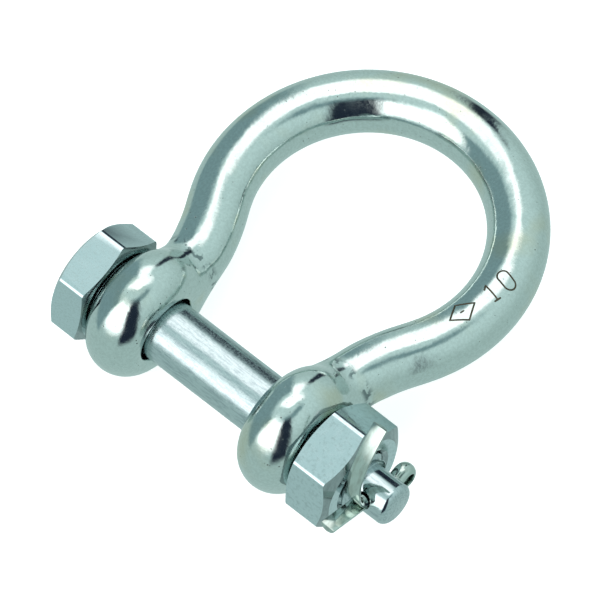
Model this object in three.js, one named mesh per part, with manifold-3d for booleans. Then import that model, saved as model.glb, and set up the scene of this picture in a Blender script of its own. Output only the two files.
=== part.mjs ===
// Bow shackle with a safety bolt, nominal size 10, in millimetres.
// X runs along the bolt from its head (-X) to its nut (+X), Y runs from the bolt to the crown of the bow,
// and the bow lies in the plane Z = 0. The origin is on the bolt's axis, midway between the two eyes.
import * as THREE from "three";
import { mergeVertices } from "three/addons/utils/BufferGeometryUtils.js";
import Module from "manifold-3d";

// Bow: a forged round bar with a ring-shaped eye at each end
const JAW = 21; // clear width between the eyes
const EYE_THICK = 9.8; // between the two spot-faced flats of one eye
const EYE_R = 10.6; // outside radius of an eye
const EYE_ROUND = 5.2; // radius of an eye's rounded rim
const EYE_BORE_R = 5.5; // clearance hole for the bolt
const SPOT_FACE_R = 7.8; // the flats inside the jaw are cut to this radius
const WIRE_R = 4.82; // the forged bar, after polishing
const CROWN_R = 22.96; // centre line of the round part of the bow
const CROWN_Y = 33.07; // centre of that round part, from the bolt's axis
const CROWN_FROM = -30.6; // degrees: where the round part ends and the leg begins
const LEG_LEAN = -5.8; // degrees: the leg leaves the eye leaning towards the jaw
const LEG_PULL = 6.8; // length of the leg curve's handle at the eye
const CROWN_PULL = 8.6; // length of its handle at the round part

// Safety bolt M10 and its nut
const SHANK_R = 5;
const ACROSS_FLATS = 17;
const HEAD_H = 6.4;
const HEAD_GAP = 0.4; // play between the head and its eye
const HEAD_PHASE = 16; // degrees from +Y to a corner of the head
const NUT_H = 7.8;
const NUT_GAP = 0.7; // play between the nut and its eye
const NUT_PHASE = 18.3; // degrees from +Y to a corner of the nut
const NUT_BORE_R = 5.1;
const THREAD_R = 4.75; // stands for the thread, which runs in the nut with this play
const THREAD_IN_EYE = 1; // the thread starts this far inside the eye
const THREAD_OUT = 0.8; // the thread's chamfered end stands out of the nut
const NOSE_R = 3.52; // the plain nose past the thread
const NOSE_ROUND = 1.1; // rounding of its end
const NOSE_OUT = 6.9; // how far it stands out of the nut
const OUTER_CHAMFER = 30; // degrees, on the outer ends of the head and the nut
const OUTER_FACE = 0.95; // radius of the face it leaves, as a share of half the width across flats
const INNER_CHAMFER = 15; // degrees, on the ends beside the eyes
const INNER_FACE = 0.98; // radius of the face it leaves, in the same way
const COUNTERSINK = 0.5; // at each end of the nut's bore

// Split pin through the nose, bent from half-round wire
const PIN_X_FROM_NUT = 2.8; // centre of the cross hole, from the nut's end face
const PIN_HOLE_R = 1.45;
const PIN_RISE = 25; // degrees: the legs rise from -Y towards +Z
const WIRE_WIDTH = 2.7;
const WIRE_THICK = 1.05;
const LEG_SLIT = 0.12; // between the flats of the two legs
const LOOP_R = 1.2; // inside of the pin's eye
const LOOP_AT = 6.35; // its centre, from the bolt's axis
const LOOP_OPEN = 60; // degrees: where the eye's circle meets its neck
const NECK_AT = 4.2; // the two legs part here, before the eye
const NECK_PULL = 0.55; // length of the handles of the neck's curve
const STRAIGHT_LEG = 11.4; // end of the straight leg, from the bolt's axis
const STRAIGHT_LEG_DROP = 1.1; // how far its tip is opened downwards
const BEND_AT = 3.9; // the other leg is bent up from here
const BEND_R = 2.3;
const UPRIGHT = 2.1; // its straight part past the bend
const CURL_R = 27; // and its end leans back over the nut
const CURL = 22; // degrees
const LEG_TO_NUT = 0.35; // play between that leg and the nut's end face
const LEANED_BY = 5; // height above the cross hole where that leg has come over to the nut

const EYE_X = JAW / 2 + EYE_THICK / 2;
const HEAD_X = -(JAW / 2 + EYE_THICK + HEAD_GAP);
const NUT_X = JAW / 2 + EYE_THICK + NUT_GAP;
const NUT_END = NUT_X + NUT_H;
const NOSE_END = NUT_END + NOSE_OUT;
const HOLE_X = NUT_END + PIN_X_FROM_NUT;
const rad = THREE.MathUtils.degToRad;

const wasm = await Module();
wasm.setup();

// A three.js geometry as a solid for joining and cutting.
function solid(geometry) {
  const bare = geometry.clone();
  bare.deleteAttribute("normal");
  bare.deleteAttribute("uv");
  const merged = mergeVertices(bare, 1e-4);
  const made = new wasm.Manifold(
    new wasm.Mesh({
      numProp: 3,
      vertProperties: new Float32Array(merged.attributes.position.array),
      triVerts: new Uint32Array(merged.index.array),
    }),
  );
  if (made.volume() <= 0) throw new Error("a solid is inside out");
  return made;
}

// The solid as a named mesh.
function mesh(name, body, material) {
  const { vertProperties, triVerts } = body.getMesh();
  const geometry = new THREE.BufferGeometry();
  geometry.setAttribute("position", new THREE.BufferAttribute(vertProperties, 3));
  geometry.setIndex(new THREE.BufferAttribute(triVerts, 1));
  geometry.computeVertexNormals();
  const made = new THREE.Mesh(geometry, material);
  made.name = name;
  return made;
}

// A solid of revolution about the X axis from [x, radius] points, which run from -X to +X.
function turned(points, segments = 48) {
  const profile = points.map(([x, radius]) => new THREE.Vector2(radius, x));
  const geometry = new THREE.LatheGeometry(profile, segments);
  geometry.rotateZ(-Math.PI / 2);
  return solid(geometry);
}

// Points on an arc in the (x, radius) plane, from one angle to another in degrees.
function arcPoints(x, radius, r, from, to, steps) {
  return Array.from({ length: steps + 1 }, (_, i) => {
    const a = rad(from + ((to - from) * i) / steps);
    return [x + r * Math.cos(a), radius + r * Math.sin(a)];
  });
}

// A tube or strip: the section, a list of [across, out] points, is carried along the stations.
// Each station has its point, the direction "across" and the direction "out".
function swept(section, stations) {
  const ring = section.length;
  const position = [];
  const index = [];
  for (const { point, across, out } of stations)
    for (const [a, o] of section)
      position.push(...point.clone().addScaledVector(across, a).addScaledVector(out, o));
  for (let s = 0; s + 1 < stations.length; s++)
    for (let i = 0; i < ring; i++) {
      const j = (i + 1) % ring;
      const here = s * ring;
      const next = here + ring;
      index.push(here + i, here + j, next + j, here + i, next + j, next + i);
    }
  const last = (stations.length - 1) * ring;
  for (let i = 1; i + 1 < ring; i++) {
    index.push(0, i + 1, i);
    index.push(last, last + i, last + i + 1);
  }
  const geometry = new THREE.BufferGeometry();
  geometry.setAttribute("position", new THREE.BufferAttribute(new Float32Array(position), 3));
  geometry.setIndex(index);
  return solid(geometry);
}

// --- Bow ---------------------------------------------------------------------------------------

// The bar's centre line: a leg, the round crown, and the other leg, mirrored.
function bowCentreLine() {
  const lean = rad(LEG_LEAN);
  const from = rad(CROWN_FROM);
  const eye = new THREE.Vector3(EYE_X, 0, 0);
  const joinPoint = new THREE.Vector3(CROWN_R * Math.cos(from), CROWN_Y + CROWN_R * Math.sin(from), 0);
  const leg = new THREE.CubicBezierCurve3(
    eye,
    eye.clone().add(new THREE.Vector3(Math.sin(lean), Math.cos(lean), 0).multiplyScalar(LEG_PULL)),
    joinPoint.clone().add(new THREE.Vector3(Math.sin(from), -Math.cos(from), 0).multiplyScalar(CROWN_PULL)),
    joinPoint,
  ).getPoints(18);
  const crown = Array.from({ length: 24 }, (_, i) => {
    const a = from + ((Math.PI / 2 - from) * (i + 1)) / 24;
    return new THREE.Vector3(CROWN_R * Math.cos(a), CROWN_Y + CROWN_R * Math.sin(a), 0);
  });
  const right = [...leg, ...crown];
  const left = right.slice(0, -1).reverse().map((p) => new THREE.Vector3(-p.x, p.y, 0));
  return [...right, ...left];
}

function bowBar() {
  const line = bowCentreLine();
  const up = new THREE.Vector3(0, 0, 1);
  const sides = 20;
  const section = Array.from({ length: sides }, (_, i) => {
    const a = (2 * Math.PI * i) / sides;
    return [WIRE_R * Math.cos(a), WIRE_R * Math.sin(a)];
  });
  const stations = line.map((point, i) => {
    const along = line[Math.min(i + 1, line.length - 1)].clone().sub(line[Math.max(i - 1, 0)]).normalize();
    return { point, across: up, out: along.clone().cross(up) };
  });
  return swept(section, stations);
}

// One eye: a ring with a full round rim and a flat face on each side.
function eyeRing(x) {
  const rimCentre = EYE_R - EYE_ROUND;
  const flatAngle = THREE.MathUtils.radToDeg(Math.acos(EYE_THICK / 2 / EYE_ROUND));
  const rim = arcPoints(x, rimCentre, EYE_ROUND, 180 - flatAngle, flatAngle, 12);
  return turned([[x - EYE_THICK / 2, 0], ...rim, [x + EYE_THICK / 2, 0]]);
}

function bow() {
  const past = JAW / 2 + 2 * EYE_THICK;
  const bore = turned([[-past, 0], [-past, EYE_BORE_R], [past, EYE_BORE_R], [past, 0]]);
  const spotFacer = turned([[-JAW / 2, 0], [-JAW / 2, SPOT_FACE_R], [JAW / 2, SPOT_FACE_R], [JAW / 2, 0]]);
  return bowBar().add(eyeRing(EYE_X)).add(eyeRing(-EYE_X)).subtract(spotFacer).subtract(bore);
}

// --- Bolt and nut ------------------------------------------------------------------------------

// A hexagonal prism along X from its inner end, beside the eye, to its outer end, both chamfered to circles.
function hexagon(inner, outer, phase) {
  const corner = ACROSS_FLATS / Math.sqrt(3);
  const prism = new THREE.CylinderGeometry(1, 1, Math.abs(outer - inner), 6);
  prism.scale(corner, 1, corner);
  prism.rotateZ(-Math.PI / 2); // a corner of the prism now points along +Z
  prism.rotateX(rad(phase - 90));
  prism.translate((inner + outer) / 2, 0, 0);
  const past = corner + 1;
  const innerFace = (INNER_FACE * ACROSS_FLATS) / 2;
  const outerFace = (OUTER_FACE * ACROSS_FLATS) / 2;
  const outwards = Math.sign(outer - inner);
  const profile = [
    [inner, 0],
    [inner, innerFace],
    [inner + outwards * (past - innerFace) * Math.tan(rad(INNER_CHAMFER)), past],
    [outer - outwards * (past - outerFace) * Math.tan(rad(OUTER_CHAMFER)), past],
    [outer, outerFace],
    [outer, 0],
  ];
  return solid(prism).intersect(turned(outwards > 0 ? profile : profile.reverse()));
}

function bolt() {
  const threadFrom = JAW / 2 + EYE_THICK - THREAD_IN_EYE;
  const threadEnd = NUT_END + THREAD_OUT;
  const shoulder = (THREAD_R - NOSE_R) / 2; // half of the thread's step down to the nose is chamfered
  const noseEnd = arcPoints(NOSE_END - NOSE_ROUND, NOSE_R - NOSE_ROUND, NOSE_ROUND, 90, 0, 5);
  const shaft = turned([
    [HEAD_X - 1, 0],
    [HEAD_X - 1, SHANK_R],
    [threadFrom, SHANK_R],
    [threadFrom, THREAD_R],
    [threadEnd - shoulder, THREAD_R],
    [threadEnd, NOSE_R + shoulder],
    [threadEnd, NOSE_R],
    ...noseEnd,
    [NOSE_END, 0],
  ]);
  const hole = new THREE.CylinderGeometry(PIN_HOLE_R, PIN_HOLE_R, 4 * NOSE_R, 24);
  hole.rotateX(rad(-PIN_RISE));
  hole.translate(HOLE_X, 0, 0);
  return shaft.add(hexagon(HEAD_X, HEAD_X - HEAD_H, HEAD_PHASE)).subtract(solid(hole));
}

function nut() {
  const bore = turned([
    [NUT_X - 1, 0],
    [NUT_X - 1, NUT_BORE_R + COUNTERSINK + 1],
    [NUT_X + COUNTERSINK, NUT_BORE_R],
    [NUT_END - COUNTERSINK, NUT_BORE_R],
    [NUT_END + 1, NUT_BORE_R + COUNTERSINK + 1],
    [NUT_END + 1, 0],
  ]);
  return hexagon(NUT_X, NUT_END, NUT_PHASE).subtract(bore);
}

// --- Split pin ---------------------------------------------------------------------------------

// The wire's flat side, as points [s, n] from the tip of the straight leg to the tip of the bent one.
// s runs along the cross hole towards the legs, and n is square to it, upwards.
function pinLine() {
  const half = LEG_SLIT / 2;
  const open = rad(LOOP_OPEN);
  const loopStart = new THREE.Vector2(-LOOP_AT + LOOP_R * Math.cos(open), LOOP_R * Math.sin(open));
  const intoNeck = new THREE.Vector2(Math.sin(open), -Math.cos(open));
  const neck = new THREE.CubicBezierCurve(
    new THREE.Vector2(-NECK_AT, half),
    new THREE.Vector2(-NECK_AT - NECK_PULL, half),
    loopStart.clone().addScaledVector(intoNeck, NECK_PULL),
    loopStart,
  ).getPoints(5);
  const points = [[STRAIGHT_LEG, -half - STRAIGHT_LEG_DROP], [BEND_AT, -half], [0, -half]];
  for (const p of neck) points.push([p.x, -p.y]);
  const steps = 14;
  for (let i = 1; i < steps; i++) {
    const a = rad(-LOOP_OPEN - ((360 - 2 * LOOP_OPEN) * i) / steps);
    points.push([-LOOP_AT + LOOP_R * Math.cos(a), LOOP_R * Math.sin(a)]);
  }
  for (const p of neck.reverse()) points.push([p.x, p.y]);
  points.push([0, half]);
  for (let i = 0; i <= 6; i++) {
    const a = rad((90 * i) / 6);
    points.push([BEND_AT + BEND_R * Math.sin(a), half + BEND_R * (1 - Math.cos(a))]);
  }
  const top = half + BEND_R + UPRIGHT;
  for (let i = 0; i <= 5; i++) {
    const a = rad((CURL * i) / 5);
    points.push([BEND_AT + BEND_R - CURL_R * (1 - Math.cos(a)), top + CURL_R * Math.sin(a)]);
  }
  return points;
}

function splitPin() {
  const alongHole = new THREE.Vector3(0, -Math.cos(rad(PIN_RISE)), Math.sin(rad(PIN_RISE)));
  const upHole = new THREE.Vector3(0, Math.sin(rad(PIN_RISE)), Math.cos(rad(PIN_RISE)));
  const legX = NUT_END + LEG_TO_NUT + WIRE_WIDTH / 2;
  const line = pinLine();
  const bendStart = line.length - 13; // the first point of the bend
  const points = line.map(([s, n], i) => {
    const drift = THREE.MathUtils.smoothstep(n, LEG_SLIT, LEANED_BY);
    const x = i >= bendStart ? THREE.MathUtils.lerp(HOLE_X, legX, drift) : HOLE_X;
    return new THREE.Vector3(x, 0, 0).addScaledVector(alongHole, s).addScaledVector(upHole, n);
  });
  const sides = 6;
  const section = Array.from({ length: sides + 1 }, (_, i) => {
    const a = (Math.PI * i) / sides;
    return [(WIRE_WIDTH / 2) * Math.cos(a), WIRE_THICK * Math.sin(a)];
  });
  const across = new THREE.Vector3(1, 0, 0);
  const stations = points.map((point, i) => {
    const along = points[Math.min(i + 1, points.length - 1)].clone().sub(points[Math.max(i - 1, 0)]);
    const out = across.clone().cross(along.setX(0).normalize()).negate();
    return { point, across, out };
  });
  return swept(section, stations);
}

// --- The assembly ------------------------------------------------------------------------------

const polished = new THREE.MeshStandardMaterial({ color: 0xb4c4c1, roughness: 0.12, metalness: 1 });
const satin = new THREE.MeshStandardMaterial({ color: 0xa9b8b7, roughness: 0.3, metalness: 1 });
const drawn = new THREE.MeshStandardMaterial({ color: 0x9fae9f, roughness: 0.25, metalness: 1 });

const shackle = new THREE.Group();
shackle.add(mesh("bow", bow(), polished));
shackle.add(mesh("bolt", bolt(), satin));
shackle.add(mesh("nut", nut(), satin));
shackle.add(mesh("split_pin", splitPin(), drawn));

export default shackle;
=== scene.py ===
import math

import bpy
from mathutils import Euler, Matrix, Vector


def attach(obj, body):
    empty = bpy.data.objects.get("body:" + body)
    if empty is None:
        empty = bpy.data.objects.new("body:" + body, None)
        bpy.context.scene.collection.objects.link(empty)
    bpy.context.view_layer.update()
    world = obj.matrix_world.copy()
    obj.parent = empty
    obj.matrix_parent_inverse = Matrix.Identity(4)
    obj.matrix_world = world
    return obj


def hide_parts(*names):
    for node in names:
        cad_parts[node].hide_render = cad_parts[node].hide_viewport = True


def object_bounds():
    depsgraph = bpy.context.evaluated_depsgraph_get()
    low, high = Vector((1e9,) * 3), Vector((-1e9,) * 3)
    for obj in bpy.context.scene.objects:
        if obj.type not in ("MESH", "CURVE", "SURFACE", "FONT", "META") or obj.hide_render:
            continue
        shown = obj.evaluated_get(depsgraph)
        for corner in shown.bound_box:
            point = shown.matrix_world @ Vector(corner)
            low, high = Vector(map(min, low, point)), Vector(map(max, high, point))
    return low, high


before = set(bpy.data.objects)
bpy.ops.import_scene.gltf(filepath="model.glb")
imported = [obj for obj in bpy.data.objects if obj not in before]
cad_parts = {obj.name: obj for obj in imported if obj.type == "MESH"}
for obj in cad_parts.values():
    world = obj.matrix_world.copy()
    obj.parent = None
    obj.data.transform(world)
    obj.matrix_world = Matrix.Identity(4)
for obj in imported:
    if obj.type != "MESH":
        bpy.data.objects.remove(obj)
cad_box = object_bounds()
scene = bpy.context.scene


# ---------------------------------------------------------------------------------------------------
# Camera: a long lens looking down on the shackle as it lies flat, from beside the nut.
# The turn of the shackle in the view is the camera's roll.
# ---------------------------------------------------------------------------------------------------
CAMERA_AZIMUTH = math.radians(43.878)
CAMERA_ELEVATION = math.radians(59.004)
CAMERA_ROLL = math.radians(-2.095)
CAMERA_DISTANCE = 1.7995
CAMERA_LENS = 720
SENSOR_WIDTH = 36
BOLT_TO_LEFT = 0.01204  # of the view's middle, in metres at the shackle
BOLT_BELOW = 0.01066

camera_data = bpy.data.cameras.new("camera")
camera_data.lens = CAMERA_LENS
camera_data.sensor_width = SENSOR_WIDTH
camera_data.clip_start = 0.01
camera_data.clip_end = 20
camera = bpy.data.objects.new("camera", camera_data)
scene.collection.objects.link(camera)
camera_back = Vector((
    math.sin(CAMERA_AZIMUTH) * math.cos(CAMERA_ELEVATION),
    -math.cos(CAMERA_AZIMUTH) * math.cos(CAMERA_ELEVATION),
    math.sin(CAMERA_ELEVATION),
))
camera_turn = camera_back.to_track_quat("Z", "Y").to_matrix() @ Euler((0, 0, CAMERA_ROLL)).to_matrix()
camera.rotation_euler = camera_turn.to_euler()
camera.location = camera_turn @ Vector((BOLT_TO_LEFT, BOLT_BELOW, CAMERA_DISTANCE))
scene.camera = camera


# ---------------------------------------------------------------------------------------------------
# Bow: one stainless forging, a round bar bent to a bow with a ring-shaped eye at each end. The eyes
# are spot-faced and bored for the bolt, and the whole is buffed until the forged hollows run softly.
# ---------------------------------------------------------------------------------------------------
JAW = 21
EYE_THICK = 9.8
EYE_R = 10.6
EYE_ROUND = 5.2  # radius of an eye's rounded rim
EYE_SIDES = 32
RIM_SIDES = 16
BORE_R = 5.5
BORE_EDGE = 0.8  # rounding of the bore's edges
SPOT_FACE_R = 7.8
BAR_R = 4.82
BAR_SIDES = 24
CROWN_STEPS = 18
LEG_STEPS = 7
CROWN_R = 22.96  # of the bar's centre line
CROWN_Y = 33.07
CROWN_TURN = math.radians(120.6)
LEG_R = 33.3
LEG_TURN = math.radians(19.5)
FOOT_ROUND_EYE = 34  # degrees each side of the leg that its foot covers, round the eye
FOOT_ACROSS_RIM = 68  # and across its rounded rim
NECK_FROM, NECK_TO = 9.3, 14  # stretch of the leg above the bolt's axis where it grows out of the eye
NECK_REACH = 6  # of the neck from the middle of the leg
eye_x = JAW / 2 + EYE_THICK / 2


def add(operator, name, **settings):
    """Adds a primitive on its own and names it."""
    bpy.ops.object.select_all(action="DESELECT")
    operator(**settings)
    bpy.context.object.name = name
    bpy.ops.object.transform_apply(location=True, rotation=True, scale=True)
    return bpy.context.object


def hold(*pieces):
    """Selects only these pieces, the first one as the active one."""
    bpy.ops.object.select_all(action="DESELECT")
    for piece in pieces:
        piece.select_set(True)
    bpy.context.view_layer.objects.active = pieces[0]


def select_where(piece, kind, test):
    """Leaves selected only the vertices, edges or polygons whose middle passes the test."""
    hold(piece)
    bpy.ops.object.mode_set(mode="EDIT")
    bpy.ops.mesh.select_mode(type={"vertices": "VERT", "edges": "EDGE", "polygons": "FACE"}[kind])
    bpy.ops.mesh.select_all(action="DESELECT")
    bpy.ops.object.mode_set(mode="OBJECT")
    corners = piece.data.vertices
    for element in getattr(piece.data, kind):
        if kind == "vertices":
            element.select = test(element.co)
        else:
            middle = sum((corners[v].co for v in element.vertices), Vector()) / len(element.vertices)
            element.select = test(middle)


def shape(piece, operator, **settings):
    """Runs one edit-mode operator on what is selected in the piece."""
    bpy.ops.object.mode_set(mode="EDIT")
    operator(**settings)
    bpy.ops.object.mode_set(mode="OBJECT")


def face_outwards(piece):
    """Merges doubled vertices and turns every face outwards."""
    select_where(piece, "vertices", lambda co: True)
    shape(piece, bpy.ops.mesh.remove_doubles, threshold=0.0005)
    shape(piece, bpy.ops.mesh.normals_make_consistent, inside=False)


def modify(piece, kind, **settings):
    """Puts one modifier on the piece and applies it."""
    hold(piece)
    modifier = piece.modifiers.new(kind.lower(), kind)
    for key, value in settings.items():
        setattr(modifier, key, value)
    bpy.ops.object.modifier_apply(modifier=modifier.name)


def combine(piece, operation, other, **settings):
    """Unites, cuts or intersects the piece with another solid, which is used up."""
    modify(piece, "BOOLEAN", object=other, operation=operation, solver="EXACT", **settings)
    bpy.data.objects.remove(other)


def draw_out(piece, start, heading, moves):
    """Draws the selected end out in the XY plane. Each move has a number of steps, and is a bend with
    its radius and its angle, to the left if positive, or a straight run with no radius and its length."""
    x, y = start
    for radius, amount, steps in moves:
        if radius is None:
            run = Vector((math.cos(heading), math.sin(heading), 0)) * amount
            for _ in range(steps):
                shape(piece, bpy.ops.mesh.extrude_region_move, TRANSFORM_OT_translate={"value": run / steps})
            x, y = x + run.x, y + run.y
        else:
            side = math.copysign(radius, amount)
            centre = (x - side * math.sin(heading), y + side * math.cos(heading), 0)
            shape(piece, bpy.ops.mesh.spin, steps=steps, angle=-amount, center=centre, axis=(0, 0, 1))
            heading += amount
            x, y = centre[0] + side * math.sin(heading), centre[1] - side * math.cos(heading)


def lathe(name, profile, sides=64):
    """A solid turned about the X axis from (x, radius) points."""
    x, radius = profile[0]
    piece = add(
        bpy.ops.mesh.primitive_circle_add, name, vertices=sides, radius=radius,
        fill_type="NGON", location=(x, 0, 0), rotation=(0, math.pi / 2, 0),
    )
    select_where(piece, "polygons", lambda co: True)
    for next_x, next_radius in profile[1:]:
        scale = next_radius / radius
        shape(piece, bpy.ops.mesh.extrude_region_move, TRANSFORM_OT_translate={"value": (next_x - x, 0, 0)})
        shape(piece, bpy.ops.transform.resize, value=(1, scale, scale), center_override=(next_x, 0, 0))
        x, radius = next_x, next_radius
    face_outwards(piece)
    return piece


def corner(x, radius, round_r, start, end, steps=4):
    """Profile points round a corner: an arc about (x, radius) between two angles in degrees."""
    turns = [math.radians(start + (end - start) * i / steps) for i in range(steps + 1)]
    return [(x + round_r * math.cos(a), radius + round_r * math.sin(a)) for a in turns]


def cage_scale(sides):
    """How far outside its round surface a subdivision cage of so many sides stands."""
    return 6 / (4 + 2 * math.cos(math.tau / sides))


def finish_mesh(piece, sharp):
    """Brings a mesh from millimetres to metres and shades it smooth up to an edge angle in degrees."""
    hold(piece)
    piece.scale = (0.001, 0.001, 0.001)
    bpy.ops.object.transform_apply(location=True, rotation=True, scale=True)
    bpy.ops.object.shade_smooth_by_angle(angle=math.radians(sharp))


def node(tree, kind, sockets, **settings):
    """Adds a shader node and fills its inputs, with a link or with a plain value."""
    made = tree.nodes.new("ShaderNode" + kind)
    for key, value in settings.items():
        setattr(made, key, value)
    for key, value in sockets.items():
        if isinstance(value, bpy.types.NodeSocket):
            tree.links.new(value, made.inputs[key])
        else:
            made.inputs[key].default_value = value
    return made


def grain(tree, size, stretch=(1, 1, 1), detail=2.0):
    """Noise with grains of about this size in millimetres, longer along an axis stretched over 1."""
    place = node(tree, "TexCoord", {}).outputs["Object"]
    fine = node(tree, "Mapping", {"Vector": place, "Scale": tuple(1000 / size / s for s in stretch)})
    return node(tree, "TexNoise", {"Vector": fine.outputs[0], "Scale": 1.0, "Detail": detail}).outputs["Fac"]


def between(tree, value, low, high, low_gives=0.0, high_gives=1.0):
    """Runs smoothly from one result to the other as the value passes from low to high."""
    return node(tree, "MapRange", {
        "Value": value, "From Min": low, "From Max": high, "To Min": low_gives, "To Max": high_gives,
    }, interpolation_type="SMOOTHSTEP").outputs["Result"]


def times(tree, a, b):
    """Multiplies two values."""
    return node(tree, "Math", {0: a, 1: b}, operation="MULTIPLY").outputs[0]


def pits(tree, spacing, size, share):
    """Small round pits: 1 inside a pit. Only some cells of the given spacing hold one."""
    place = node(tree, "TexCoord", {}).outputs["Object"]
    cells = node(tree, "TexVoronoi", {"Vector": place, "Scale": 1000 / spacing})
    lot = node(tree, "SeparateColor", {"Color": cells.outputs["Color"]}).outputs[0]
    inside = between(tree, cells.outputs["Distance"], size / spacing * 0.6, size / spacing, 1.0, 0.0)
    return times(tree, inside, between(tree, lot, share - 0.02, share, 1.0, 0.0))


def blend_colour(tree, share, first, second):
    """Mixes two colours, each a plain one or the result of a node: the second one at a share of 1."""
    mixed = node(tree, "Mix", {"Factor": share}, data_type="RGBA")
    for socket, value in ((mixed.inputs["A"], first), (mixed.inputs["B"], second)):
        if isinstance(value, bpy.types.NodeSocket):
            tree.links.new(value, socket)
        else:
            socket.default_value = (*value, 1)
    return mixed.outputs["Result"]


def steel(name):
    """A bare metal material: its node tree and its shader."""
    material = bpy.data.materials.new(name)
    material.use_nodes = True
    shader = material.node_tree.nodes["Principled BSDF"]
    shader.inputs["Metallic"].default_value = 1
    return material, material.node_tree, shader


def relief(tree, shader, layers):
    """Stacks bump layers on the shader, each a height from 0 to 1 and its depth in millimetres."""
    normal = None
    for height, depth in layers:
        sockets = {"Height": height, "Distance": depth / 1000}
        if normal:
            sockets["Normal"] = normal
        normal = node(tree, "Bump", sockets).outputs["Normal"]
    tree.links.new(normal, shader.inputs["Normal"])


bow = add(
    bpy.ops.mesh.primitive_circle_add, "forged_bow", vertices=BAR_SIDES,
    radius=BAR_R * cage_scale(BAR_SIDES), location=(0, CROWN_Y + CROWN_R, 0), rotation=(0, math.pi / 2, 0),
)
select_where(bow, "vertices", lambda co: True)
draw_out(bow, (0, CROWN_Y + CROWN_R), 0, [(CROWN_R, -CROWN_TURN, CROWN_STEPS), (LEG_R, LEG_TURN, LEG_STEPS)])
eye = add(
    bpy.ops.mesh.primitive_torus_add, "eye", major_segments=EYE_SIDES, minor_segments=RIM_SIDES,
    major_radius=EYE_R * cage_scale(EYE_SIDES) - EYE_ROUND, minor_radius=EYE_ROUND * cage_scale(RIM_SIDES),
    location=(eye_x, 0, 0), rotation=(0, math.pi / 2, 0),
)


def under_foot(co):
    """Whether a place on the eye is where the leg grows out of it."""
    out = math.hypot(co.y, co.z) - (EYE_R - EYE_ROUND)
    round_eye = math.degrees(math.atan2(co.z, co.y))
    across_rim = math.degrees(math.atan2(co.x - eye_x, out))
    return abs(round_eye) < FOOT_ROUND_EYE and abs(across_rim) < FOOT_ACROSS_RIM


select_where(eye, "polygons", under_foot)
shape(eye, bpy.ops.mesh.delete, type="FACE")
hold(bow, eye)
bpy.ops.object.join()
bpy.ops.object.mode_set(mode="EDIT")
bpy.ops.mesh.select_mode(type="EDGE")
bpy.ops.mesh.select_all(action="DESELECT")
bpy.ops.mesh.select_non_manifold(extend=False)
bpy.ops.object.mode_set(mode="OBJECT")
for edge in bow.data.edges:
    if max(bow.data.vertices[v].co.y for v in edge.vertices) > CROWN_Y:
        edge.select = False  # the bar's end in the middle of the crown stays open for its mirror image
shape(bow, bpy.ops.mesh.bridge_edge_loops, number_cuts=1, interpolation="LINEAR")
modify(bow, "MIRROR", merge_threshold=0.01)
face_outwards(bow)


def in_neck(co):
    """Whether a place is where the leg grows out of the eye."""
    return NECK_FROM < co.y < NECK_TO and math.hypot(abs(co.x) - eye_x, co.z) < NECK_REACH


select_where(bow, "vertices", in_neck)
shape(bow, bpy.ops.mesh.vertices_smooth, factor=0.5, repeat=2)
modify(bow, "SUBSURF", levels=2, render_levels=2)
combine(bow, "DIFFERENCE", lathe("spot_facer", [(-JAW / 2, SPOT_FACE_R), (JAW / 2, SPOT_FACE_R)]))
for inner in (JAW / 2, -JAW / 2 - EYE_THICK):
    outer = inner + EYE_THICK
    past = outer if inner > 0 else inner - EYE_THICK
    combine(bow, "DIFFERENCE", lathe("spot_facer", [(past, SPOT_FACE_R), (past + EYE_THICK, SPOT_FACE_R)]))
    wide = BORE_R + BORE_EDGE
    combine(bow, "DIFFERENCE", lathe("boring_bar", [
        (inner - 1, wide), *corner(inner + BORE_EDGE, wide, BORE_EDGE, 180, 270),
        *corner(outer - BORE_EDGE, wide, BORE_EDGE, 270, 360), (outer + 1, wide),
    ], sides=96))

# The stamps on one leg: the size, 10, and a plain lozenge. A punch is a rounded stroke sunk in the top.
STROKE_R = 0.16
STAMP_PROUD = STROKE_R / 4  # height of a stroke's middle above the bar
STAMP_TURN = math.radians(81)  # of the marks' reading direction, from +X
ONE_AT = (23.3, 35.2)
ZERO_AT = (23.5, 38.3)
LOZENGE_AT = (22.3, 29.7)
ONE_HIGH, ZERO_HIGH, ZERO_WIDE = 2.9, 3.3, 1.9
ONE_FLAG = (-0.6, -0.5)  # from the top of the one to the end of its flag
ONE_FOOT = 1.0
LOZENGE_LONG, LOZENGE_WIDE = 4.8, 3.4
LOZENGE_DOT = 0.5


def stroke(start, end):
    """A rounded punch stroke between two points of a mark, seen from above."""
    start, end = Vector(start), Vector(end)
    half = (end - start).length / 2
    punch = add(bpy.ops.mesh.primitive_uv_sphere_add, "punch", segments=12, ring_count=8, radius=STROKE_R)
    for way in (-1, 1):
        select_where(punch, "vertices", lambda co: co.z * way > 0.01)
        shape(punch, bpy.ops.transform.translate, value=(0, 0, half * way))
    select_where(punch, "edges", lambda co: abs(abs(co.z) - half / 2) < half / 4)
    shape(punch, bpy.ops.mesh.subdivide, number_cuts=4)
    punch.rotation_euler = (math.pi / 2, 0, math.atan2(end.y - start.y, end.x - start.x) + math.pi / 2)
    punch.location = ((start.x + end.x) / 2, (start.y + end.y) / 2, 0)
    hold(punch)
    bpy.ops.object.transform_apply(location=True, rotation=True)
    return punch


def ring(width, height):
    """A rounded punch in the shape of a tall zero."""
    punch = add(
        bpy.ops.mesh.primitive_torus_add, "punch", major_segments=32, minor_segments=8,
        major_radius=width / 2, minor_radius=STROKE_R,
    )
    for way in (-1, 1):
        select_where(punch, "vertices", lambda co: co.y * way > 0.01)
        shape(punch, bpy.ops.transform.translate, value=(0, (height - width) / 2 * way, 0))
    return punch


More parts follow.
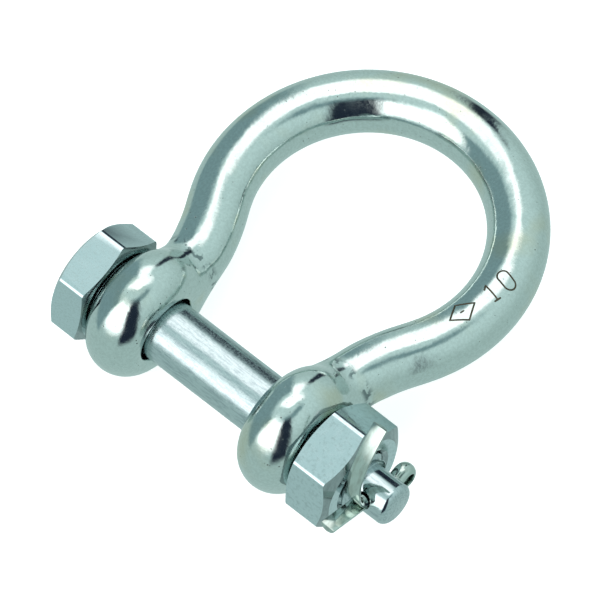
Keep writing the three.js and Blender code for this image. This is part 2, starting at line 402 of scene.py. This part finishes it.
def stamp(place, mark, *strokes):
    """Sets one mark's strokes on the top of the bar, with its head towards the inside of the bow."""
    for more in strokes:
        combine(mark, "UNION", more)
    mark.rotation_euler.z = STAMP_TURN
    mark.location = (*place, BAR_R + STAMP_PROUD)
    hold(mark)
    bpy.ops.object.transform_apply(location=True, rotation=True)
    for vertex in mark.data.vertices:
        off = math.hypot(vertex.co.x, vertex.co.y - CROWN_Y) - CROWN_R
        vertex.co.z -= BAR_R - math.sqrt(BAR_R * BAR_R - off * off)
    return mark


top = ONE_HIGH / 2
flag = stroke((0, top), (ONE_FLAG[0], top + ONE_FLAG[1]))
foot = stroke((-ONE_FOOT / 2, -top), (ONE_FOOT / 2, -top))
one = stamp(ONE_AT, stroke((0, -top), (0, top)), flag, foot)
zero = stamp(ZERO_AT, ring(ZERO_WIDE, ZERO_HIGH))
tips = [(LOZENGE_LONG / 2, 0), (0, LOZENGE_WIDE / 2), (-LOZENGE_LONG / 2, 0), (0, -LOZENGE_WIDE / 2)]
sides = [stroke(tips[i - 1], tips[i]) for i in range(4)]
lozenge = stamp(LOZENGE_AT, *sides, stroke((-LOZENGE_DOT / 2, 0), (LOZENGE_DOT / 2, 0)))

STEEL = (0.61, 0.70, 0.68)
STEEL_SHADE = (0.56, 0.64, 0.62)
STRAW = (0.60, 0.56, 0.36)
# The next dark teal is painted shade for the creases where the legs grow out of the eyes.
CREASE_SHADE_COLOUR = (0.07, 0.11, 0.12)
PIT_DARK = (0.10, 0.11, 0.10)
CREASE_SHADE_FROM, CREASE_SHADE_TO = (0.0096, 0.0105), (0.0108, 0.0122)  # metres up the leg where the painted shade in each crease starts and ends
polished, tree, shader = steel("buffed_stainless")
large_pits = pits(tree, spacing=1.6, size=0.14, share=0.3)
small_pits = pits(tree, spacing=0.7, size=0.08, share=0.22)
pitted = node(tree, "Math", {0: large_pits, 1: small_pits}, operation="MAXIMUM").outputs[0]
tinted = between(tree, grain(tree, 9), 0.52, 0.72, 0.0, 0.4)
up_leg = node(tree, "SeparateXYZ", {0: node(tree, "TexCoord", {}).outputs["Object"]}).outputs["Y"]
# Painted shade: a dark teal colour, broken up by noise, painted into the crease where each leg grows out of
# its eye.
neck = times(tree, between(tree, up_leg, *CREASE_SHADE_FROM), between(tree, up_leg, *CREASE_SHADE_TO, 1.0, 0.0))
painted_crease_shade = times(tree, neck, between(tree, grain(tree, 1.6, detail=4), 0.5, 0.57, 0.0, 0.75))
skin = blend_colour(tree, between(tree, grain(tree, 0.45, detail=3), 0.35, 0.65), STEEL, STEEL_SHADE)
skin = blend_colour(tree, painted_crease_shade, blend_colour(tree, tinted, skin, STRAW), CREASE_SHADE_COLOUR)
tree.links.new(blend_colour(tree, pitted, skin, PIT_DARK), shader.inputs["Base Color"])
tree.links.new(between(tree, grain(tree, 2.4, detail=4), 0.35, 0.7, 0.08, 0.18), shader.inputs["Roughness"])
relief(tree, shader, [
    (grain(tree, 7, detail=1), 0.20), (grain(tree, 2, detail=3), 0.036), (grain(tree, 0.5, detail=3), 0.0013),
    (pitted, -0.03),
])
GROOVE_DARK = (0.06, 0.05, 0.035)
GROOVE_BROWN = (0.16, 0.14, 0.10)
etched, tree, shader = steel("stamped_groove")
groove_colour = blend_colour(tree, grain(tree, 0.5), GROOVE_DARK, GROOVE_BROWN)
tree.links.new(groove_colour, shader.inputs["Base Color"])
shader.inputs["Roughness"].default_value = 0.5

bow.data.materials.append(polished)
for mark in (one, zero, lozenge):
    mark.data.materials.append(etched)
    combine(bow, "DIFFERENCE", mark, material_mode="TRANSFER")
finish_mesh(bow, sharp=30)
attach(bow, "bow_body")
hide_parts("bow")


# ---------------------------------------------------------------------------------------------------
# Bolt: a hexagon-head safety bolt M10, turned from stainless bar. Past its short thread it has a
# thinner plain nose, drilled across for the split pin. The shank was tumbled to a soft shine.
# ---------------------------------------------------------------------------------------------------
SHANK_R = 5
ACROSS_FLATS = 17
CORNER_BEVEL = 0.55
HEAD_GAP = 0.4
NUT_GAP = 0.7
OUTER_CHAMFER = 0.89  # round face's radius on a hexagon's outer end, as a share of half across flats
INNER_CHAMFER = 0.95
HEAD_X = -(JAW / 2 + EYE_THICK + HEAD_GAP)
HEAD_H = 6.4
HEAD_PHASE = math.radians(16)  # from +Y to a corner
NUT_X = JAW / 2 + EYE_THICK + NUT_GAP
NUT_H = 7.8
NUT_END = NUT_X + NUT_H
PITCH = 1.5
CREST_R = 4.88
ROOT_R = 4.08
RIDGE_HIGH = 1
RIDGE_PROUD = 0.05  # of the ridge over the crest, before the thread is turned down to it
CREST_WIDE, ROOT_WIDE = 0.25, 1.3  # of the ridge, for each millimetre of its height
THREAD_TURNS = 8
THREAD_FROM = JAW / 2 + EYE_THICK - 1
THREAD_TO = NUT_END + 0.8
NOSE_R = 3.52
NOSE_ROUND = 1.1
NOSE_END = NUT_END + 6.9
HOLE_X = NUT_END + 2.8
HOLE_R = 1.45
HOLE_RISE = math.radians(25)  # of the cross hole, from -Y towards +Z


def hexagon(name, inner, outer, phase):
    """A hexagon prism along X with softened corners, both ends chamfered to a round face."""
    sharp = ACROSS_FLATS / math.sqrt(3)
    prism = add(
        bpy.ops.mesh.primitive_cylinder_add, name, vertices=6, radius=sharp, depth=abs(outer - inner),
        location=((inner + outer) / 2, 0, 0), rotation=(0, math.pi / 2, 0),
    )
    select_where(prism, "edges", lambda co: math.hypot(co.y, co.z) > sharp - 0.1)
    shape(prism, bpy.ops.mesh.bevel, offset=CORNER_BEVEL, segments=4, affect="EDGES")
    prism.rotation_euler.x = phase
    hold(prism)
    bpy.ops.object.transform_apply(rotation=True)
    out = math.copysign(1, outer - inner)
    past = sharp + 1
    inner_r, outer_r = INNER_CHAMFER * ACROSS_FLATS / 2, OUTER_CHAMFER * ACROSS_FLATS / 2
    combine(prism, "INTERSECT", lathe("chamfer", [
        (inner, inner_r), (inner + out * (past - inner_r) * math.tan(math.radians(20)), past),
        (outer - out * (past - outer_r) * math.tan(math.radians(30)), past), (outer, outer_r),
    ], sides=128))
    return prism


def machined_faces(piece, material, test):
    """Gives the cones that a tool cut, neither flat ends nor sides, a material of their own."""
    piece.data.materials.append(material)
    for face in piece.data.polygons:
        if 0.6 < abs(face.normal.x) < 0.97 and test(face.center):
            face.material_index = len(piece.data.materials) - 1


bolt = lathe("safety_bolt", [
    (HEAD_X - 1, SHANK_R), (THREAD_FROM - 0.5, SHANK_R), (THREAD_FROM, ROOT_R),
    (THREAD_TO - 0.2, ROOT_R), (THREAD_TO, ROOT_R - 0.2), (THREAD_TO, NOSE_R),
    *corner(NOSE_END - NOSE_ROUND, NOSE_R - NOSE_ROUND, NOSE_ROUND, 90, 12, steps=7),
], sides=96)
combine(bolt, "UNION", hexagon("head", HEAD_X, HEAD_X - HEAD_H, HEAD_PHASE))
thread = add(bpy.ops.mesh.primitive_plane_add, "thread", size=RIDGE_HIGH, location=(THREAD_FROM, CREST_R, 0))
for above, width in ((True, CREST_WIDE), (False, ROOT_WIDE)):
    select_where(thread, "vertices", lambda co: (co.y > CREST_R) == above)
    shape(thread, bpy.ops.transform.resize, value=(width, 1, 1), center_override=(THREAD_FROM, CREST_R, 0))
select_where(thread, "vertices", lambda co: True)
shape(thread, bpy.ops.transform.translate, value=(0, RIDGE_PROUD - RIDGE_HIGH / 2, 0))
modify(thread, "SCREW", axis="X", screw_offset=PITCH, iterations=THREAD_TURNS, steps=48, render_steps=48)
select_where(thread, "vertices", lambda co: True)
shape(thread, bpy.ops.mesh.fill_holes, sides=8)
face_outwards(thread)
combine(thread, "INTERSECT", lathe("thread_chamfer", [
    (THREAD_FROM - 0.3, CREST_R), (THREAD_TO - 0.5, CREST_R), (THREAD_TO - 0.05, ROOT_R + 0.2),
], sides=96))
combine(bolt, "UNION", thread)
drill = lathe("drill", [(-6, HOLE_R), (6, HOLE_R)], sides=48)
drill.rotation_euler.z = math.pi / 2
bpy.ops.object.transform_apply(rotation=True)
drill.rotation_euler.x = -HOLE_RISE
drill.location.x = HOLE_X
bpy.ops.object.transform_apply(location=True, rotation=True)
combine(bolt, "DIFFERENCE", drill)
face_outwards(bolt)
shape(bolt, bpy.ops.mesh.fill_holes, sides=6)
finish_mesh(bolt, sharp=25)

# Steel for the cones that a tool cut, darker than the rest: painted shade.
SHADED_CUT_STEEL = (0.44, 0.51, 0.51)
SHADED_CUT_GREY = (0.24, 0.28, 0.29)
HEAD_STEEL = (0.58, 0.69, 0.71)
BOLT_STEEL = (0.52, 0.61, 0.62)
BOLT_GREY = (0.40, 0.48, 0.50)
satin, tree, shader = steel("tumbled_stainless")
along = node(tree, "SeparateXYZ", {0: node(tree, "TexCoord", {}).outputs["Object"]}).outputs["X"]
on_shank = between(tree, along, (NUT_END + 1) / 1000, (NUT_END + 2) / 1000, 1.0, 0.25)
on_shank = times(tree, on_shank, between(tree, along, HEAD_X / 1000, (HEAD_X + 1) / 1000, 0.15, 1.0))
on_head = between(tree, along, (HEAD_X - 0.2) / 1000, HEAD_X / 1000, 1.0, 0.0)
streaks = grain(tree, 0.33, stretch=(5, 1, 1), detail=4)
speckle = grain(tree, 0.3, detail=3)
turned = blend_colour(tree, between(tree, streaks, 0.4, 0.68), BOLT_STEEL, BOLT_GREY)
forged = blend_colour(tree, between(tree, speckle, 0.4, 0.75), HEAD_STEEL, BOLT_STEEL)
tree.links.new(blend_colour(tree, on_head, turned, forged), shader.inputs["Base Color"])
shiny = node(tree, "Math", {0: on_shank, 1: 0.45}, operation="MAXIMUM").outputs[0]
uneven = times(tree, between(tree, speckle, 0.35, 0.65, 0.15, 0.27), shiny)
tree.links.new(uneven, shader.inputs["Roughness"])
relief(tree, shader, [
    (times(tree, streaks, on_shank), 0.006), (times(tree, speckle, on_shank), 0.004),
    (grain(tree, 3, detail=1), 0.015),
])
# The cut cones: real tool-mark streaks, on a steel darkened all over as painted shade.
cut, tree, shader = steel("machined_chamfer_painted_shade")
tool_marks = grain(tree, 0.22, stretch=(1, 5, 5), detail=3)
tree.links.new(blend_colour(tree, tool_marks, SHADED_CUT_STEEL, SHADED_CUT_GREY), shader.inputs["Base Color"])
tree.links.new(between(tree, tool_marks, 0.35, 0.65, 0.12, 0.24), shader.inputs["Roughness"])
relief(tree, shader, [(tool_marks, 0.002)])
bolt.data.materials.append(satin)
# The head's outer chamfer takes the darker steel with painted shade.
machined_faces(bolt, cut, lambda co: co.x < HEAD_X / 1000)
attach(bolt, "bolt_body")
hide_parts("bolt")


# ---------------------------------------------------------------------------------------------------
# Nut: a hexagon nut M10 of the same stainless steel, with drawn flats and softened corners, screwed
# on until it almost meets the eye and kept there by the split pin.
# ---------------------------------------------------------------------------------------------------
NUT_PHASE = math.radians(18.3)
NUT_BORE_R = 4.95
COUNTERSINK = 0.75

nut = hexagon("hexagon_nut", NUT_X, NUT_END, NUT_PHASE)
mouth = NUT_BORE_R + COUNTERSINK + 1
combine(nut, "DIFFERENCE", lathe("tap", [
    (NUT_X - 1, mouth), (NUT_X + COUNTERSINK, NUT_BORE_R),
    (NUT_END - COUNTERSINK, NUT_BORE_R), (NUT_END + 1, mouth),
], sides=96))
finish_mesh(nut, sharp=25)

NUT_STEEL = (0.57, 0.68, 0.70)
NUT_GREY = (0.46, 0.55, 0.56)
drawn_flats, tree, shader = steel("drawn_hexagon_stainless")
scuffs = grain(tree, 0.6, detail=5)
tree.links.new(
    blend_colour(tree, between(tree, scuffs, 0.45, 0.75), NUT_STEEL, NUT_GREY), shader.inputs["Base Color"]
)
tree.links.new(between(tree, grain(tree, 1.2, detail=3), 0.35, 0.65, 0.10, 0.20), shader.inputs["Roughness"])
relief(tree, shader, [(scuffs, 0.002), (grain(tree, 3.5, detail=1), 0.012)])
nut.data.materials.append(drawn_flats)
# The nut's chamfers and countersinks take the same darker steel with painted shade.
machined_faces(nut, cut, lambda co: True)
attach(nut, "nut_body")
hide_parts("nut")


# ---------------------------------------------------------------------------------------------------
# Split pin: a cotter bent from half-round stainless wire, its two flats lying on each other in the
# cross hole. Its eye stops it behind the nose, and one leg is bent up in front of the nut.
# ---------------------------------------------------------------------------------------------------
WIRE_WIDTH = 2.7
WIRE_THICK = 1.05
WIRE_EDGE = 0.16
LEG_SLIT = 0.12
LOOP_R = 1.2
LOOP_AT = 6.35  # the eye's centre, from the bolt's axis
NECK_R = 1.1
NECK_TURN = math.radians(45)
STRAIGHT_LEG = 11.4
TIP_DROP = 1.1
TIP_BEND = 0.6  # length of the slight bend that opens the straight leg
BEND_AT = 3.9
BEND_R = 2.3
UPRIGHT = 2.1
CURL_R = 27
CURL = math.radians(22)
LEG_TO_NUT = 0.35
LEANED_BY = 5  # height above the cross hole where the bent leg has come over to the nut
tip_slope = math.atan2(TIP_DROP, STRAIGHT_LEG - BEND_AT)
slant = (LOOP_R * math.sin(NECK_TURN) - LEG_SLIT / 2) / math.sin(NECK_TURN) - NECK_R * math.tan(NECK_TURN / 2)
neck_at = LOOP_AT - (LOOP_R + slant) * math.cos(NECK_TURN) - NECK_R * math.sin(NECK_TURN)

split_pin = add(
    bpy.ops.mesh.primitive_circle_add, "bent_split_pin", vertices=24, radius=WIRE_WIDTH / 2,
    rotation=(0, math.pi / 2, 0),
)
select_where(split_pin, "vertices", lambda co: co.y > 0.01)
shape(split_pin, bpy.ops.mesh.delete, type="VERT")
select_where(split_pin, "vertices", lambda co: True)
flatter = 2 * WIRE_THICK / WIRE_WIDTH
shape(split_pin, bpy.ops.transform.resize, value=(1, flatter, 1), center_override=(0, 0, 0))
shape(split_pin, bpy.ops.mesh.edge_face_add)
select_where(split_pin, "vertices", lambda co: abs(co.y) < 0.01)
shape(split_pin, bpy.ops.mesh.bevel, offset=WIRE_EDGE, segments=3, affect="VERTICES")
tip = (STRAIGHT_LEG, -LEG_SLIT / 2 - TIP_DROP)
split_pin.rotation_euler.z = -tip_slope
split_pin.location = (*tip, 0)
hold(split_pin)
bpy.ops.object.transform_apply(location=True, rotation=True)
select_where(split_pin, "polygons", lambda co: True)
draw_out(split_pin, tip, math.pi - tip_slope, [
    (None, math.hypot(STRAIGHT_LEG - BEND_AT, TIP_DROP) - TIP_BEND, 4),
    (TIP_BEND / math.tan(tip_slope / 2), tip_slope, 2),
    (None, BEND_AT - TIP_BEND + neck_at, 4),
    (NECK_R, NECK_TURN, 4),
    (None, slant, 1),
    (LOOP_R, -(math.pi + 2 * NECK_TURN), 24),
    (None, slant, 1),
    (NECK_R, NECK_TURN, 4),
    (None, BEND_AT + neck_at, 4),
    (BEND_R, math.pi / 2, 10),
    (None, UPRIGHT, 4),
    (CURL_R, CURL, 6),
])
face_outwards(split_pin)
along_hole = Vector((0, -math.cos(HOLE_RISE), math.sin(HOLE_RISE)))
up_hole = Vector((0, math.sin(HOLE_RISE), math.cos(HOLE_RISE)))
into_hole = Matrix((along_hole, up_hole, along_hole.cross(up_hole))).transposed().to_4x4()
split_pin.matrix_world = Matrix.Translation((HOLE_X, 0, 0)) @ into_hole
hold(split_pin)
bpy.ops.object.transform_apply(location=True, rotation=True)
leg_x = NUT_END + LEG_TO_NUT + WIRE_WIDTH / 2
for vertex in split_pin.data.vertices:  # the bent leg leans towards the nut as it rises
    if vertex.co.dot(along_hole) > BEND_AT / 2:
        rise = (vertex.co.dot(up_hole) - LEG_SLIT) / (LEANED_BY - LEG_SLIT)
        rise = min(max(rise, 0), 1)
        vertex.co.x += (leg_x - HOLE_X) * rise * rise * (3 - 2 * rise)
modify(split_pin, "BEVEL", width=0.12, segments=2, limit_method="ANGLE", angle_limit=math.radians(60))
finish_mesh(split_pin, sharp=35)

WIRE_STEEL = (0.50, 0.59, 0.55)
WIRE_GREY = (0.40, 0.46, 0.42)
wire, tree, shader = steel("drawn_wire_stainless")
die_marks = grain(tree, 0.7, stretch=(1, 3, 3), detail=2)
tree.links.new(
    blend_colour(tree, between(tree, die_marks, 0.4, 0.7), WIRE_STEEL, WIRE_GREY), shader.inputs["Base Color"]
)
tree.links.new(between(tree, grain(tree, 0.8, detail=3), 0.35, 0.65, 0.06, 0.14), shader.inputs["Roughness"])
relief(tree, shader, [(die_marks, 0.0006), (grain(tree, 2.5, detail=1), 0.004)])
split_pin.data.materials.append(wire)
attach(split_pin, "split_pin_body")
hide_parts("split_pin")


# ---------------------------------------------------------------------------------------------------
# Floor: a plain white table under the lowest point of the eyes. Its own faint glow keeps it white, and
# polished steel mirrors the light tent and not the table.
# ---------------------------------------------------------------------------------------------------
FLOOR_SIZE = 12
FLOOR_WHITE = 0.9
FLOOR_GLOW = 0.66
floor = add(bpy.ops.mesh.primitive_plane_add, "floor", size=FLOOR_SIZE, location=(0, 0, cad_box[0].z))
floor.visible_glossy = False
white = bpy.data.materials.new("white_table")
white.use_nodes = True
white_shader = white.node_tree.nodes["Principled BSDF"]
white_shader.inputs["Base Color"].default_value = (FLOOR_WHITE, FLOOR_WHITE, FLOOR_WHITE, 1)
white_shader.inputs["Roughness"].default_value = 1
white_shader.inputs["Emission Color"].default_value = (1, 1, 1, 1)
white_shader.inputs["Emission Strength"].default_value = FLOOR_GLOW
floor.data.materials.append(white)


# ---------------------------------------------------------------------------------------------------
# Light: a plain soft tent with two softboxes, a white roof and a few shading cards, as polished metal
# is lit in a studio. Each card has its middle and half width in azimuth, in degrees from +X, the same
# in elevation, the softness of these two edges, and its light.
# ---------------------------------------------------------------------------------------------------
WHITE = (1.8, 1.8, 1.8)
BRIGHT = (2.5, 2.5, 2.5)
SHADE = (0.25, 0.38, 0.40)
BLACK = (0.02, 0.03, 0.05)
TENT_TOP = (0.70, 0.88, 0.87)
TENT_FOOT = (0.50, 0.65, 0.63)
FOOT_TO_TOP = (-15.0, 50.0)  # degrees of elevation between which the tent's foot turns into its top
CARDS = {
    "white_roof": ((130, 60), (75, 15), (30, 10), WHITE),
    "roof_gap": ((-20, 55), (65, 7), (30, 10), SHADE),
    "back_softbox": ((130, 15), (50, 15), (15, 15), WHITE),
    "side_card": ((-170, 45), (20, 30), (10, 10), SHADE),
    "back_flag": ((110, 5), (10, 25), (5, 15), BLACK),
    "front_flag": ((-40, 20), (25, 40), (10, 15), BLACK),
    "front_softbox": ((-90, 30), (35, 25), (20, 20), BRIGHT),
}

tent = bpy.data.worlds.new("light_tent")
tent.use_nodes = True
scene.world = tent
tree = tent.node_tree
direction = node(tree, "SeparateXYZ", {0: node(tree, "TexCoord", {}).outputs["Generated"]}).outputs
round_tent = node(tree, "Math", {0: direction["Y"], 1: direction["X"]}, operation="ARCTAN2").outputs[0]
up_tent = node(tree, "Math", {0: direction["Z"]}, operation="ARCSINE").outputs[0]
azimuth = times(tree, round_tent, math.degrees(1))
elevation = times(tree, up_tent, math.degrees(1))


def inside(tree, angle, middle, half, soft):
    """1 within half of the middle, in degrees the short way round, and 0 past the soft edge."""
    away = node(tree, "Math", {0: angle, 1: middle}, operation="SUBTRACT").outputs[0]
    short = node(tree, "Math", {0: away, 1: 180.0, 2: -180.0}, operation="WRAP").outputs[0]
    distance = node(tree, "Math", {0: short}, operation="ABSOLUTE").outputs[0]
    return between(tree, distance, half - soft / 2, half + soft / 2, 1.0, 0.0)


light = blend_colour(tree, between(tree, elevation, *FOOT_TO_TOP), TENT_FOOT, TENT_TOP)
for across, upwards, softness, colour in CARDS.values():
    share = inside(tree, azimuth, *across, softness[0])
    share = times(tree, share, inside(tree, elevation, *upwards, softness[1]))
    light = blend_colour(tree, share, light, colour)
seen_directly = node(tree, "LightPath", {}).outputs["Is Camera Ray"]
tree.links.new(blend_colour(tree, seen_directly, light, (1, 1, 1)), tree.nodes["Background"].inputs["Color"])
scene.view_settings.view_transform = "Standard"
